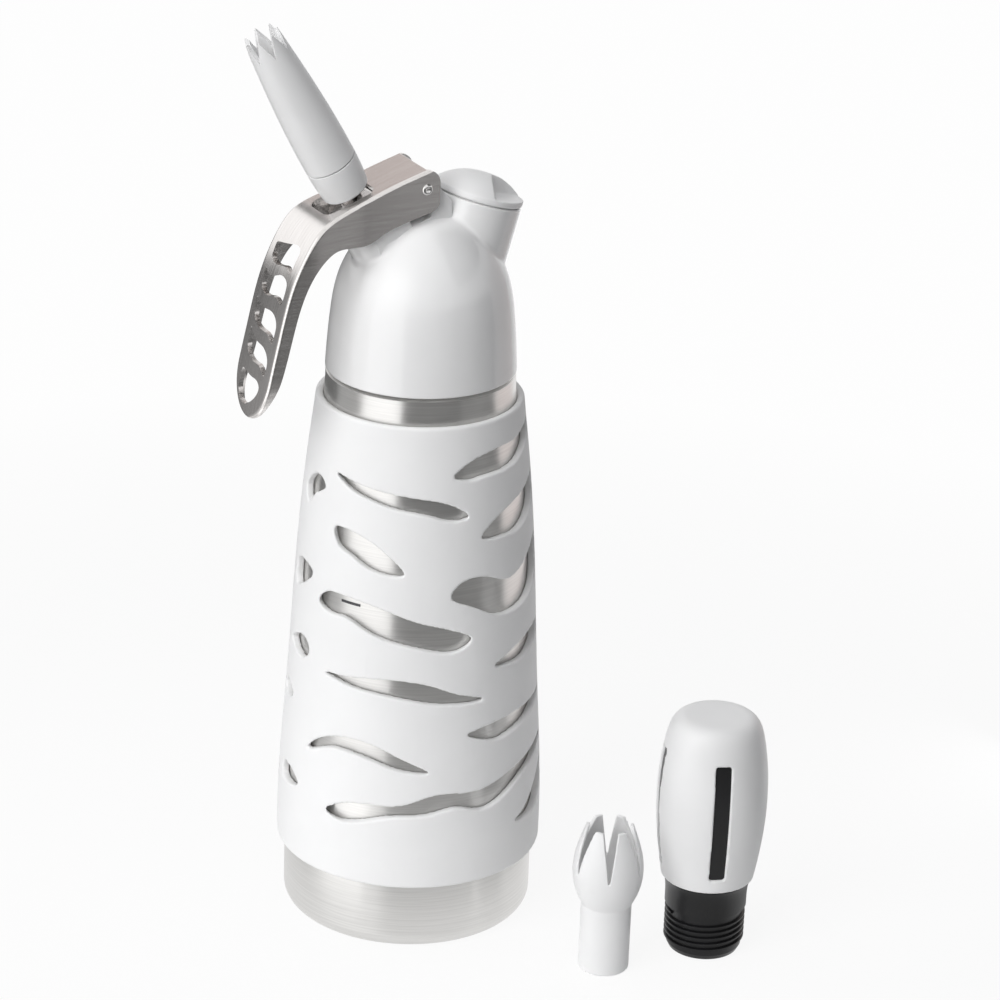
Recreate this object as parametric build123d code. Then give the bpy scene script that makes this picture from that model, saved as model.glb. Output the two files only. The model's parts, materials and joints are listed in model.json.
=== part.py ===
from build123d import *
import os
from math import atan2, cos, degrees, pi, radians, sin

# A half-litre whipped cream dispenser with its charger holder and a spare tip beside it.
# Millimetres. +Z is up, the origin is the centre of the bottle's base on the table.
# The lever and the nozzle point to -X, the charger inlet to +X.

# ---- clearances ----
RUNNING_FIT = 0.08          # radial, round parts that slide or turn in one another
THREAD_CLEARANCE = 0.30     # crest of a male thread to the bore it screws into
FACE_GAP = 0.05             # flat faces of parts that turn against one another
SEAM_GAP = 0.40             # visible seam under a cap or a screwed tip
SIDE_PLAY = 0.30            # lever cheek to head lug, each side
OVERCUT = 1.0               # how far a cutter runs past the face that it cuts

# ---- threads, shares of the pitch ----
THREAD_ROOT_SHARE = 0.32
THREAD_TIP_SHARE = 0.12
THREAD_SUNK = 0.35          # how far a ridge reaches into its cylinder

# ---- bottle ----
BOTTLE_HEIGHT = 198.5
BOTTLE_WALL = 0.9
BASE_RADIUS = 40.0
BASE_CORNER = 4.8
FOOT_RING_WIDTH = 1.0       # flat ring that the bottle stands on
FOOT_RECESS = 2.0
TAPER_START = 30.0          # height where the straight wall ends
NECK_RADIUS = 26.2
NECK_WALL = 2.0
NECK_HEIGHT = 14.5
NECK_CONE_HEIGHT = 1.6      # from the shoulder up to the neck
NECK_THREAD_DEPTH = 1.0
NECK_THREAD_PITCH = 4.0
NECK_THREAD_START = 2.5     # over the neck's foot
NECK_THREAD_END = 3.0       # under the mouth

# the tapered side: how far below the shoulder, and how much wider than the neck
SHOULDER_FLARE = 3.3
COLLAR_DROP = 17.4
COLLAR_FLARE = 4.8
CHEST_DROP = 56.4
CHEST_FLARE = 8.6
WAIST_DROP = 104.4
WAIST_FLARE = 11.4

# ---- sleeve ----
SLEEVE_BOTTOM = 23.2
SLEEVE_TOP_DROP = 7.4       # below the shoulder
SLEEVE_THICKNESS = 2.4
SLEEVE_EDGE = 0.9
LEVEL_MARK_HEIGHT = 115.6   # on the drawing of the stripes
LEVEL_MARK_ANGLE = -151.0
LEVEL_MARK_LENGTH = 7.0
LEVEL_MARK_WIDTH = 0.8
LEVEL_MARK_THICKNESS = 0.12

# ---- head: heights over its rim, insets from the rim's radius ----
HEAD_RIM_GAP = 1.0          # rim over the bottle's shoulder
HEAD_RIM_WALL = 2.2
HEAD_HEIGHT = 51.1
HEAD_STEP_HEIGHT = 17.6
HEAD_STEP_INSET = 1.3
HEAD_SHOULDER_HEIGHT = 31.6
HEAD_SHOULDER_INSET = 4.3
HEAD_CROWN_HEIGHT = 45.6
HEAD_CROWN_INSET = 14.1
HEAD_EDGE = 0.6
SADDLE_FILLET = 2.5         # where the boss and the inlet tube grow out of the bell
GASKET_THICKNESS = 2.0
GASKET_INSET = 0.8          # bore of the gasket to the bottle's mouth
CAVITY_INSET = 1.6          # wall of the space over the mouth to the mouth
CAVITY_HEIGHT = 13.5        # over the gasket
CAVITY_FILLET = 8.0

# ---- lever: (x, z) from its pivot ----
PIVOT_X = -4.7
PIVOT_RISE = 9.2            # over the top of the bell
PIN_RADIUS = 1.25
PIN_HEAD_RADIUS = 1.75
PIN_HEAD_HEIGHT = 0.5
PIN_DIMPLE_RADIUS = 0.8
LEVER_HALF_WIDTH = 10.0
TAIL_HALF_WIDTH = 11.5
FLARE_START = -21.0         # where the lever begins to widen towards its tail
FLARE_END = -39.0
LEVER_SHEET = 1.5
LEVER_EDGE = 1.1
CHEEK_REACH = 4.3           # from the pin to the lever's rear edge
CHEEK_DROP = 7.2            # from the pin to the cheek's lowest point behind it
CHEEK_CORNER_RUN = 2.2
CHEEK_CORNER_RISE = 3.5
CHEEK_CORNER_RADIUS = 3.6
STRAP = ((-0.1, 5.9), (-9.3, 3.0), (-25.8, -3.3), (-34.6, -7.6), (-40.2, -14.9), (-45.6, -27.2),
         (-49.2, -41.1), (-52.4, -55.2), (-55.1, -70.7))
FLANGE = ((-5.0, -9.1), (-14.0, -12.2), (-19.8, -15.1), (-25.8, -15.3), (-30.0, -15.6), (-34.0, -18.0),
          (-39.0, -24.5), (-42.0, -31.5), (-44.4, -40.0), (-46.8, -49.5), (-48.9, -56.1), (-51.3, -62.0),
          (-53.4, -70.7))
STRAP_SLOT_LENGTH = 17.5
STRAP_SLOT_OFFSET = 1.2     # middle of the slot beyond the nozzle's base
STRAP_SLOT_CORNER = 3.0
STRAP_SLOT_LIP = 1.2        # how far the strap covers the stem's shoulder, each side
TAIL_END_DROP = 54.0        # centre of the rounded end below the pivot
TAIL_END_LENGTH = 14.5      # from that centre to the tip of the tail

# wave windows of the tail, (y, z from the pivot) round each edge
TAIL_WINDOWS = (
    ((7.3, -16.3), (3.1, -15.7), (-1.0, -14.9), (-4.6, -14.4), (-6.7, -15.2), (-7.0, -18.6),
     (-6.8, -22.3), (-3.8, -21.3), (0, -21.6), (3.8, -21.9), (6.9, -21.0), (7.7, -18.6)),
    ((7.6, -24.4), (4.9, -25.5), (1.7, -25.1), (-1.1, -24.0), (-4.4, -23.8), (-7.0, -25.0),
     (-7.7, -28.0), (-7.1, -31.3), (-4.2, -30.6), (0.3, -30.8), (4.0, -31.2), (7.2, -29.8),
     (7.8, -27.2)),
    ((7.6, -33.2), (5.8, -34.1), (2.9, -34.9), (-1.7, -34.6), (-5.6, -35.5), (-7.5, -37.5),
     (-7.7, -40.6), (-7.2, -43.1), (-4.6, -42.1), (-0.6, -41.3), (4.0, -40.9), (7.0, -39.0),
     (7.8, -36.2)),
    ((7.2, -42.4), (5.0, -43.9), (2.4, -45.1), (-1.7, -45.5), (-4.9, -46.6), (-7.0, -48.7),
     (-7.3, -51.5), (-6.7, -53.3), (-3.7, -51.9), (1.0, -51.4), (5.0, -50.4), (7.3, -48.1),
     (7.7, -45.3)),
    ((6.6, -54.9), (3.8, -55.4), (0.1, -55.8), (-3.7, -56.1), (-5.2, -57.4), (-4.2, -60.4),
     (-0.8, -63.4), (2.8, -64.9), (5.8, -63.9), (7.5, -61.5), (7.7, -57.8)),
)

# ---- web of the head under the lever, (x, z) from the pivot ----
LUG_RADIUS = 4.0
WEB_OUTLINE = ((-17.3, -10.7), (-3.3, -1.7), (0.0, 2.9), (4.9, -0.2), (9.2, -5.2), (10.7, -28.7),
               (-11.3, -28.7))
RELIEF_OUTLINE = ((-6.7, -6.3), (-3.9, -11.8), (2.3, -9.5), (3.7, -3.7))
RELIEF_DEPTH = 3.5          # pockets of the web under the lever's cheeks

# ---- nozzle and valve, heights along the nozzle's own axis from the adapter's base ----
NOZZLE_TILT = 29.6
NOZZLE_REACH = 22.3         # in front of the pivot
NOZZLE_DROP = 0.5           # below the pivot
BOSS_TOP = -10.3
BOSS_WALL = 1.8
COUNTERBORE_BOTTOM = -22.0
STEM_RADIUS = 3.5
STEM_BORE = 1.7
STEM_TOP = 6.5
STEM_SHOULDER_INSET = 0.4   # from the lug's side
STEM_SHOULDER_TOP = -4.35
STEM_SHOULDER_HEIGHT = 1.8
ORING_SECTION = 0.9
ORING_GROOVE = 0.45
ORING_WIDTH = 1.3
UPPER_ORING_DROP = 2.6      # below the counterbore
LOWER_ORING_DROP = 5.8
PORT_DROP = 8.6
PORT_RADIUS = 1.0
SEAT_DROP = 10.4
VALVE_SEAL_RADIUS = 5.6
VALVE_SEAL_THICKNESS = 1.8
RETAINER_INSET = 0.4
RETAINER_HEIGHT = 2.75
VALVE_POCKET_CLEARANCE = 2.0
VALVE_POCKET_DEPTH = 16.6
SPRING_WIRE = 0.9
SPRING_CLEARANCE = 0.85     # coil to the wall of the counterbore
SPRING_TURNS = 6.5
ADAPTER_BASE_RADIUS = 7.3
ADAPTER_TOP_RADIUS = 8.0
ADAPTER_HEIGHT = 10.9
ADAPTER_EDGE = 0.6
STUB_RADIUS = 5.0
STUB_LENGTH = 7.2
STUB_BORE = 2.6
TIP_SEAL_INSET = 0.9

# ---- tips, heights from the tip's own base ----
TIP_LENGTH = 46.9
TIP_BELLY_INSET = 0.05
TIP_BELLY_HEIGHT = 9.0
TIP_NECK_INSET = 0.7
TIP_NECK_HEIGHT = 24.0
TIP_END_RADIUS = 5.4
TIP_WALL = 1.1
TIP_TEETH = 7
TIP_TURN = 287.0            # direction of one tooth
TOOTH_DEPTH = 6.8
INSERT_WALL = 0.9
INSERT_LENGTH = 7.0
BORE_STEP = 1.5             # cone from the insert's seat to the tip's bore
TULIP_X = 34.6
TULIP_Y = -70.1
TULIP_TURN = -118.0         # direction of one slit
TULIP_EDGE = 0.5
TULIP_STEM_RADIUS = 8.0
TULIP_STEM_LENGTH = 23.0
TULIP_BORE_RISE = 2.0       # where the bore widens, over the stem's end
TULIP_BALL_RADIUS = 11.15
TULIP_BALL_HEIGHT = 34.0
TULIP_MOUTH_RADIUS = 7.4
TULIP_LENGTH = 50.0
TULIP_PETALS = 6
PETAL_SLIT_DEPTH = 17.5
PETAL_SLIT_WIDTH = 4.8

# ---- charger holder, heights from its open end, which it stands on ----
HOLDER_X = 71.0
HOLDER_Y = -70.8
HOLDER_TURN = -111.0        # direction of one window
HOLDER_THREAD_CREST = 12.8
HOLDER_THREAD_DEPTH = 0.8
HOLDER_THREAD_PITCH = 2.0
HOLDER_THREAD_START = 2.6
HOLDER_THREAD_END = 1.8     # under the grip
HOLDER_END_CHAMFER = 0.8
GRIP_BOTTOM = 15.4
GRIP_HEIGHT = 9.6
GRIP_STEP = 1.0             # grip beyond the thread's root
GRIP_FLARE = 1.0
SHELL_HEIGHT = 55.6         # over the grip
SHELL_FOOT_WALL = 1.9       # beyond the core
SHELL_BELLY_WALL = 4.7
SHELL_BELLY_HEIGHT = 26.0
SHELL_TOP_WALL = 2.6
SHELL_TOP_DROP = 7.0
SHELL_CROWN_RADIUS = 9.0
CORE_WALL = 3.4
CORE_TOP_DROP = 9.0         # top of the core under the shell's
CHARGER_RADIUS = 9.4
CHARGER_LENGTH = 64.0
SHELL_WINDOWS = 4
SHELL_WINDOW_WIDTH = 5.0
SHELL_WINDOW_START = 5.1    # over the shell's lower edge
SHELL_WINDOW_END = 10.5     # under the shell's top
SHELL_WINDOW_DEPTH = 0.8    # how far the black rib lies below the shell's face

# ---- charger inlet and its cap, heights along the inlet's axis from the tube's mouth ----
INLET_TILT = 16.0
INLET_X = 17.8
INLET_RISE = 1.5            # tube's mouth over the top of the bell
TUBE_WALL = 0.85
TUBE_LENGTH = 26.0
TUBE_EDGE = 0.5
INLET_DEPTH = 15.0
CHARGER_PORT_RADIUS = 5.0
CHARGER_PORT_DEPTH = 17.0
PIERCER_BASE_RADIUS = 6.4
PIERCER_BASE_HEIGHT = 2.5
PIERCER_RADIUS = 1.5
PIERCER_HEIGHT = 6.0
PIERCER_POINT = 2.25
VENT_OFFSET = 3.9
VENT_RADIUS = 0.7
PIERCER_SEAL_WALL = 1.4
PIERCER_SEAL_HEIGHT = 2.0
CHECK_VALVE_LENGTH = 8.0
CHECK_VALVE_WALL = 1.4
CHECK_VALVE_FLOOR = 1.5
CHECK_HOLE_RADIUS = 1.0
CHECK_LIP_INSET = 1.0
CHECK_LIP_LENGTH = 3.0
CAP_OVERHANG = 0.1          # cap beyond the tube
CAP_FLANGE = 2.0
CAP_EDGE = 0.4
CAP_DOME = 5.0
CAP_MIDDLE = (0.6, 0.74)    # a point of the dome, in shares of the cap's radius and the dome's height
CAP_PLUG_LENGTH = 7.5
CAP_PLUG_WALL = 1.8
THUMB_POCKET = ((-3.4, -16.5), (4.4, -2.3), (9.0, -0.9), (17.0, -0.3), (17.0, -16.5))
POCKET_LEAN = 28.0          # degrees that the pocket's walls lean outward
CAP_SEAL_WIDTH = 1.2
CAP_SEAL_DEPTH = 3.8
CAP_SEAL_SECTION = 0.95

# ---- stripe windows, (angle in degrees, height) round each edge, drawn for a sleeve that
# ---- spans the heights below and stretched to the real one
STRIPES_DRAWN_BOTTOM = 23.2
STRIPES_DRAWN_TOP = 175.0
STRIPES = (
    ((-192, 147), (-185, 151.5), (-175, 152.6), (-171.5, 151), (-180, 146.5), (-188, 142.5)),
    ((-165, 157), (-153, 155.6), (-134, 154), (-111, 152.3), (-95, 148.8), (-91, 146.2),
     (-97, 145.3), (-110, 147), (-128, 149), (-148, 151.8), (-158, 154.2)),
    ((-160, 140), (-151, 139.8), (-139, 137.4), (-129, 133.2), (-123, 128.4),
     (-132, 127.8), (-143, 129.6), (-152, 132.3), (-159.5, 135)),
    ((-196, 118.5), (-183, 123.2), (-176, 121.6), (-186, 115), (-194, 113.5)),
    ((-168, 114.6), (-163, 117.8), (-150, 118.4), (-136, 117.1), (-115, 112.9), (-96, 109.2),
     (-90, 106.4), (-94, 103.8), (-110, 103.5), (-126, 105.8), (-141, 108.8), (-152, 111.4),
     (-162, 111.4)),
    ((-98, 160), (-88, 163.7), (-66, 165.8), (-46, 167), (-30, 167.4), (-32, 164.4), (-43, 161.2),
     (-55, 159), (-68, 158.2), (-82, 158), (-92, 157.9)),
    ((-83, 139.8), (-74, 143.9), (-58, 147.2), (-42, 150), (-29, 151), (-30, 145), (-42, 140),
     (-55, 137.4), (-70, 137.2)),
    ((-99, 122.4), (-91, 126), (-80, 125.6), (-69, 122.9), (-57, 124), (-43, 128.6), (-29, 131),
     (-29, 123), (-39, 115.6), (-50, 112.6), (-62, 111.6), (-76, 112.6), (-90, 117.3)),
    ((-76, 95.8), (-66, 98.2), (-54, 100), (-38, 101.2), (-27, 100), (-38, 96.2), (-52, 93.8),
     (-66, 94)),
    ((-194, 95), (-186, 98), (-176.5, 98), (-174, 95.3), (-176.5, 92.6), (-186, 91.8)),
    ((-201, 77.4), (-193, 79.2), (-187, 76.8), (-193, 74.4)),
    ((-162, 91.4), (-148, 92.3), (-125, 93.6), (-108, 91.8), (-95, 88.2), (-82, 85.1),
     (-96, 85), (-110, 86), (-125, 87.7), (-140, 88.7), (-153, 89.9)),
    ((-170, 63.6), (-160, 69.4), (-148, 71.9), (-133, 71), (-121, 67.4), (-109, 62.9),
     (-123, 63.6), (-136, 66.2), (-150, 67.4), (-160, 65.8)),
    ((-156, 46.5), (-148, 49.7), (-121, 51.8), (-108, 55), (-86, 54.9), (-66, 58), (-46, 60.6),
     (-32, 61.6), (-42, 57.6), (-57, 54.4), (-71, 50.4), (-85, 48.2), (-96, 50.2), (-108, 48.7),
     (-125, 47.6), (-141, 44.2), (-150, 43.8)),
    ((-90, 75), (-78, 76.3), (-62, 76.9), (-44, 77.2), (-30, 76.8), (-42, 74), (-55, 71.8),
     (-67, 70.7), (-80, 71)),
    ((-64, 39.8), (-54, 43), (-44, 48.4), (-31, 52.4), (-28, 47), (-38, 41), (-51, 38)),
    ((-192, 51), (-181, 52), (-175.5, 49.2), (-184, 46.8), (-193, 48.4)),
)


def place_axis(x, z, tilt):
    """Frame at (x, z) whose Z axis leans by tilt degrees towards +X."""
    lean = radians(tilt)
    return Plane(origin=(x, 0, z), x_dir=(cos(lean), 0, -sin(lean)),
                 z_dir=(sin(lean), 0, cos(lean)))


# ---- sizes that follow from the ones above ----
MOUTH_RADIUS = NECK_RADIUS - NECK_WALL
NECK_START = BOTTLE_HEIGHT - NECK_HEIGHT
NECK_THREAD_CREST = NECK_RADIUS + NECK_THREAD_DEPTH
SHOULDER_HEIGHT = NECK_START - NECK_CONE_HEIGHT
SHOULDER_RADIUS = NECK_RADIUS + SHOULDER_FLARE
COLLAR = (NECK_RADIUS + COLLAR_FLARE, SHOULDER_HEIGHT - COLLAR_DROP)
CHEST = (NECK_RADIUS + CHEST_FLARE, SHOULDER_HEIGHT - CHEST_DROP)
WAIST = (NECK_RADIUS + WAIST_FLARE, SHOULDER_HEIGHT - WAIST_DROP)
SLEEVE_TOP = SHOULDER_HEIGHT - SLEEVE_TOP_DROP
GASKET_TOP = BOTTLE_HEIGHT + GASKET_THICKNESS
HEAD_BORE_RADIUS = NECK_THREAD_CREST + THREAD_CLEARANCE
HEAD_RADIUS = HEAD_BORE_RADIUS + HEAD_RIM_WALL
HEAD_BOTTOM = SHOULDER_HEIGHT + HEAD_RIM_GAP
HEAD_TOP = HEAD_BOTTOM + HEAD_HEIGHT
PIVOT_Z = HEAD_TOP + PIVOT_RISE
PIVOT = Pos(PIVOT_X, 0, PIVOT_Z)
PIN_HOLE_RADIUS = PIN_RADIUS + RUNNING_FIT
LUG_HALF_WIDTH = LEVER_HALF_WIDTH - LEVER_SHEET - SIDE_PLAY
BOSS_RADIUS = LUG_HALF_WIDTH
COUNTERBORE_RADIUS = BOSS_RADIUS - BOSS_WALL
SPRING_RADIUS = COUNTERBORE_RADIUS - SPRING_CLEARANCE - SPRING_WIRE / 2
STEM_SHOULDER_RADIUS = LUG_HALF_WIDTH - STEM_SHOULDER_INSET
STRAP_SLOT_HALF_WIDTH = STEM_SHOULDER_RADIUS - STRAP_SLOT_LIP
SEAT_TOP = COUNTERBORE_BOTTOM - SEAT_DROP
VALVE_SEAL_BOTTOM = SEAT_TOP - FACE_GAP - VALVE_SEAL_THICKNESS
STEM_BOTTOM = VALVE_SEAL_BOTTOM - RETAINER_HEIGHT
STEM_HOLE_RADIUS = STEM_RADIUS + ORING_SECTION
INSERT_BORE = STUB_RADIUS + THREAD_CLEARANCE
INSERT_RADIUS = INSERT_BORE + INSERT_WALL
TIP_BASE = ADAPTER_HEIGHT + SEAM_GAP + 2 * FACE_GAP
HOLDER_THREAD_ROOT = HOLDER_THREAD_CREST - HOLDER_THREAD_DEPTH
CORE_RADIUS = CHARGER_RADIUS + CORE_WALL
GRIP_TOP = GRIP_BOTTOM + GRIP_HEIGHT
SHELL_BOTTOM = GRIP_TOP + SEAM_GAP
SHELL_TOP = SHELL_BOTTOM + SHELL_HEIGHT
INLET_BORE_RADIUS = HOLDER_THREAD_CREST + THREAD_CLEARANCE / 2
TUBE_RADIUS = INLET_BORE_RADIUS + TUBE_WALL
CAP_RADIUS = TUBE_RADIUS + CAP_OVERHANG
CAP_PLUG_RADIUS = INLET_BORE_RADIUS - THREAD_CLEARANCE
NOZZLE = place_axis(PIVOT_X - NOZZLE_REACH, PIVOT_Z - NOZZLE_DROP, -NOZZLE_TILT)
INLET = place_axis(INLET_X, HEAD_TOP + INLET_RISE, INLET_TILT)


def spin(*edges):
    """Turned part from a closed outline drawn as (radius, height)."""
    return revolve(Plane.XZ * make_face(Curve() + list(edges)), Axis.Z)


def disc(radius, bottom, top):
    """Upright cylinder between two heights."""
    return Pos(0, 0, bottom) * Cylinder(radius, top - bottom, align=(Align.CENTER, Align.CENTER, Align.MIN))


def ring(inner, outer, bottom, top):
    """Plain ring between two heights."""
    return disc(outer, bottom, top) - disc(inner, bottom, top)


def crosswise(sketch, half_width):
    """Block of an XZ outline, as deep to both sides of the middle."""
    return extrude(Plane.XZ * sketch, amount=half_width, both=True)


def thread(root, crest, pitch, bottom, length):
    """Helical ridge that stands on a cylinder of the root radius."""
    path = Helix(pitch=pitch, height=length, radius=root, center=(0, 0, bottom))
    half = pitch * THREAD_ROOT_SHARE
    tip = pitch * THREAD_TIP_SHARE
    outline = Polyline((-THREAD_SUNK, -half), (crest - root, -tip), (crest - root, tip),
                       (-THREAD_SUNK, half), close=True)
    start = Plane(origin=path @ 0, x_dir=(1, 0, 0), z_dir=path % 0)
    return sweep(start * make_face(outline), path=path, is_frenet=True)


def taper_curve(inset):
    """Side of the bottle from the straight wall up to the shoulder, moved in by inset."""
    stations = [(BASE_RADIUS, TAPER_START), WAIST, CHEST, COLLAR, (SHOULDER_RADIUS, SHOULDER_HEIGHT)]
    return Spline([(radius - inset, height) for radius, height in stations],
                  tangents=((0, 1), (0, 1)))


def bottle():
    corner = BASE_RADIUS - BASE_CORNER
    inner_corner = BASE_CORNER - BOTTLE_WALL
    foot = corner - FOOT_RING_WIDTH
    recess = foot - FOOT_RECESS
    inner_recess = FOOT_RECESS + BOTTLE_WALL
    shell = spin(
        Line((0, FOOT_RECESS), (recess, FOOT_RECESS)),
        Line((recess, FOOT_RECESS), (foot, 0)),
        Line((foot, 0), (corner, 0)),
        JernArc((corner, 0), (1, 0), BASE_CORNER, 90),
        Line((BASE_RADIUS, BASE_CORNER), (BASE_RADIUS, TAPER_START)),
        taper_curve(0),
        Line((SHOULDER_RADIUS, SHOULDER_HEIGHT), (NECK_RADIUS, NECK_START)),
        Line((NECK_RADIUS, NECK_START), (NECK_RADIUS, BOTTLE_HEIGHT)),
        Line((NECK_RADIUS, BOTTLE_HEIGHT), (MOUTH_RADIUS, BOTTLE_HEIGHT)),
        Line((MOUTH_RADIUS, BOTTLE_HEIGHT), (MOUTH_RADIUS, NECK_START)),
        Line((MOUTH_RADIUS, NECK_START), (SHOULDER_RADIUS - BOTTLE_WALL, SHOULDER_HEIGHT)),
        taper_curve(BOTTLE_WALL),
        Line((BASE_RADIUS - BOTTLE_WALL, TAPER_START), (BASE_RADIUS - BOTTLE_WALL, BASE_CORNER)),
        JernArc((corner, BOTTLE_WALL), (1, 0), inner_corner, 90),
        Line((corner, BOTTLE_WALL), (foot, BOTTLE_WALL)),
        Line((foot, BOTTLE_WALL), (recess, inner_recess)),
        Line((recess, inner_recess), (0, inner_recess)),
        Line((0, inner_recess), (0, FOOT_RECESS)))
    length = NECK_HEIGHT - NECK_THREAD_START - NECK_THREAD_END
    return shell + thread(NECK_RADIUS, NECK_THREAD_CREST, NECK_THREAD_PITCH,
                          NECK_START + NECK_THREAD_START, length)


def side_layer(inner_inset, outer_inset, bottom, top):
    """Skin that follows the bottle's side between two heights."""
    inner_base = BASE_RADIUS - inner_inset
    outer_base = BASE_RADIUS - outer_inset
    inner_side = taper_curve(inner_inset)
    outer_side = taper_curve(outer_inset)
    layer = spin(
        Line((inner_base, 0), (outer_base, 0)),
        Line((outer_base, 0), (outer_base, TAPER_START)),
        outer_side,
        Line(outer_side @ 1, inner_side @ 1),
        inner_side,
        Line((inner_base, TAPER_START), (inner_base, 0)))
    return layer & disc(BASE_RADIUS * 2, bottom, top)


def stripe_height(drawn):
    """Height on the real sleeve of a height on the drawing of the stripes."""
    share = (drawn - STRIPES_DRAWN_BOTTOM) / (STRIPES_DRAWN_TOP - STRIPES_DRAWN_BOTTOM)
    return SLEEVE_BOTTOM + share * (SLEEVE_TOP - SLEEVE_BOTTOM)


def sleeve_radius(height):
    """Outer radius of the sleeve, straight between the stations of the bottle's side."""
    stations = [(BASE_RADIUS, 0), (BASE_RADIUS, TAPER_START), WAIST, CHEST, COLLAR,
                (SHOULDER_RADIUS, SHOULDER_HEIGHT)]
    for (r0, z0), (r1, z1) in zip(stations, stations[1:]):
        if height <= z1:
            return r0 + (r1 - r0) * (height - z0) / (z1 - z0) + SLEEVE_THICKNESS
    return SHOULDER_RADIUS + SLEEVE_THICKNESS


def stripe_cutter(outline, turn):
    """Block that cuts one stripe, drawn on the plane that touches the sleeve at its middle."""
    angles = [angle for angle, drawn in outline]
    middle = (min(angles) + max(angles)) / 2
    points = []
    for angle, drawn in outline:
        height = stripe_height(drawn)
        points.append((sleeve_radius(height) * sin(radians(angle - middle)), height))
    face = Plane.YZ * make_face(Spline(points, periodic=True))
    return Rot(0, 0, middle + turn) * extrude(face, amount=BASE_RADIUS * 2, dir=(1, 0, 0))


def sleeve():
    skin = side_layer(-RUNNING_FIT, -RUNNING_FIT - SLEEVE_THICKNESS, SLEEVE_BOTTOM, SLEEVE_TOP)
    by_height = skin.edges().group_by(Axis.Z)
    skin = fillet(by_height[0] + by_height[-1], SLEEVE_EDGE)
    for outline in STRIPES:
        for turn in (0, 180):
            skin -= stripe_cutter(outline, turn)
    return skin


def level_mark():
    middle = stripe_height(LEVEL_MARK_HEIGHT)
    skin = side_layer(-LEVEL_MARK_THICKNESS, 0, middle - LEVEL_MARK_WIDTH / 2,
                      middle + LEVEL_MARK_WIDTH / 2)
    block = Box(BASE_RADIUS * 2, LEVEL_MARK_LENGTH, SLEEVE_TOP * 2,
                align=(Align.MIN, Align.CENTER, Align.CENTER))
    return skin & Rot(0, 0, LEVEL_MARK_ANGLE) * block


def head_gasket():
    return ring(MOUTH_RADIUS - GASKET_INSET, NECK_RADIUS + SIDE_PLAY, BOTTLE_HEIGHT, GASKET_TOP)


def head_bell():
    """Outer form of the bell with its rim rounded."""
    stations = ((HEAD_RADIUS, HEAD_BOTTOM),
                (HEAD_RADIUS - HEAD_STEP_INSET, HEAD_BOTTOM + HEAD_STEP_HEIGHT),
                (HEAD_RADIUS - HEAD_SHOULDER_INSET, HEAD_BOTTOM + HEAD_SHOULDER_HEIGHT),
                (HEAD_RADIUS - HEAD_CROWN_INSET, HEAD_BOTTOM + HEAD_CROWN_HEIGHT),
                (0, HEAD_TOP))
    bell = spin(
        Line((0, HEAD_BOTTOM), stations[0]),
        Spline(stations, tangents=((-0.05, 1), (-1, 0))),
        Line((0, HEAD_TOP), (0, HEAD_BOTTOM)))
    return fillet(bell.edges().group_by(Axis.Z)[0], HEAD_EDGE)


def head_web():
    """Flat arm under the lever, from the pivot lug to the nozzle's boss."""
    web = crosswise(make_face(Polyline(WEB_OUTLINE, close=True)), LUG_HALF_WIDTH)
    relief = make_face(Polyline(RELIEF_OUTLINE, close=True))
    web -= crosswise(relief, LUG_HALF_WIDTH) - crosswise(relief, LUG_HALF_WIDTH - RELIEF_DEPTH)
    return PIVOT * (web + crosswise(Circle(LUG_RADIUS), LUG_HALF_WIDTH))


def is_saddle(edge):
    """True for the long curved edges where a round arm meets the bell."""
    return edge.geom_type == GeomType.BSPLINE and edge.length > TUBE_RADIUS


def head():
    tube = disc(TUBE_RADIUS, -TUBE_LENGTH, 0)
    tube = fillet(tube.edges().group_by(Axis.Z)[-1], TUBE_EDGE)
    body = head_bell() + INLET * tube + NOZZLE * disc(BOSS_RADIUS, SEAT_TOP, BOSS_TOP)
    body = fillet(body.edges().filter_by(is_saddle), SADDLE_FILLET)
    body += head_web()
    # the space over the bottle's mouth
    cavity = disc(MOUTH_RADIUS - CAVITY_INSET, HEAD_BOTTOM - OVERCUT, GASKET_TOP + CAVITY_HEIGHT)
    cavity = fillet(cavity.edges().group_by(Axis.Z)[-1], CAVITY_FILLET)
    body -= cavity
    body -= disc(HEAD_BORE_RADIUS, HEAD_BOTTOM - OVERCUT, GASKET_TOP + FACE_GAP)
    # the valve's bores
    body -= NOZZLE * disc(COUNTERBORE_RADIUS, COUNTERBORE_BOTTOM, STEM_TOP)
    body -= NOZZLE * disc(STEM_HOLE_RADIUS, SEAT_TOP, COUNTERBORE_BOTTOM)
    body -= NOZZLE * disc(VALVE_SEAL_RADIUS + VALVE_POCKET_CLEARANCE, SEAT_TOP - VALVE_POCKET_DEPTH, SEAT_TOP)
    # the charger inlet
    body -= INLET * disc(INLET_BORE_RADIUS, -INLET_DEPTH, OVERCUT)
    body -= INLET * disc(CHARGER_PORT_RADIUS, -INLET_DEPTH - CHARGER_PORT_DEPTH, -INLET_DEPTH)
    return body - PIVOT * crosswise(Circle(PIN_HOLE_RADIUS), LEVER_HALF_WIDTH)


def strap_line(inset):
    """Outer line of the lever's sheet, moved in by inset."""
    moved = []
    last = len(STRAP) - 1
    for index, (x, z) in enumerate(STRAP):
        x0, z0 = STRAP[max(index - 1, 0)]
        x1, z1 = STRAP[min(index + 1, last)]
        run = Vector(x1 - x0, z1 - z0).normalized()
        moved.append((x - run.Y * inset, z + run.X * inset))
    return Spline(moved)


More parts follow.
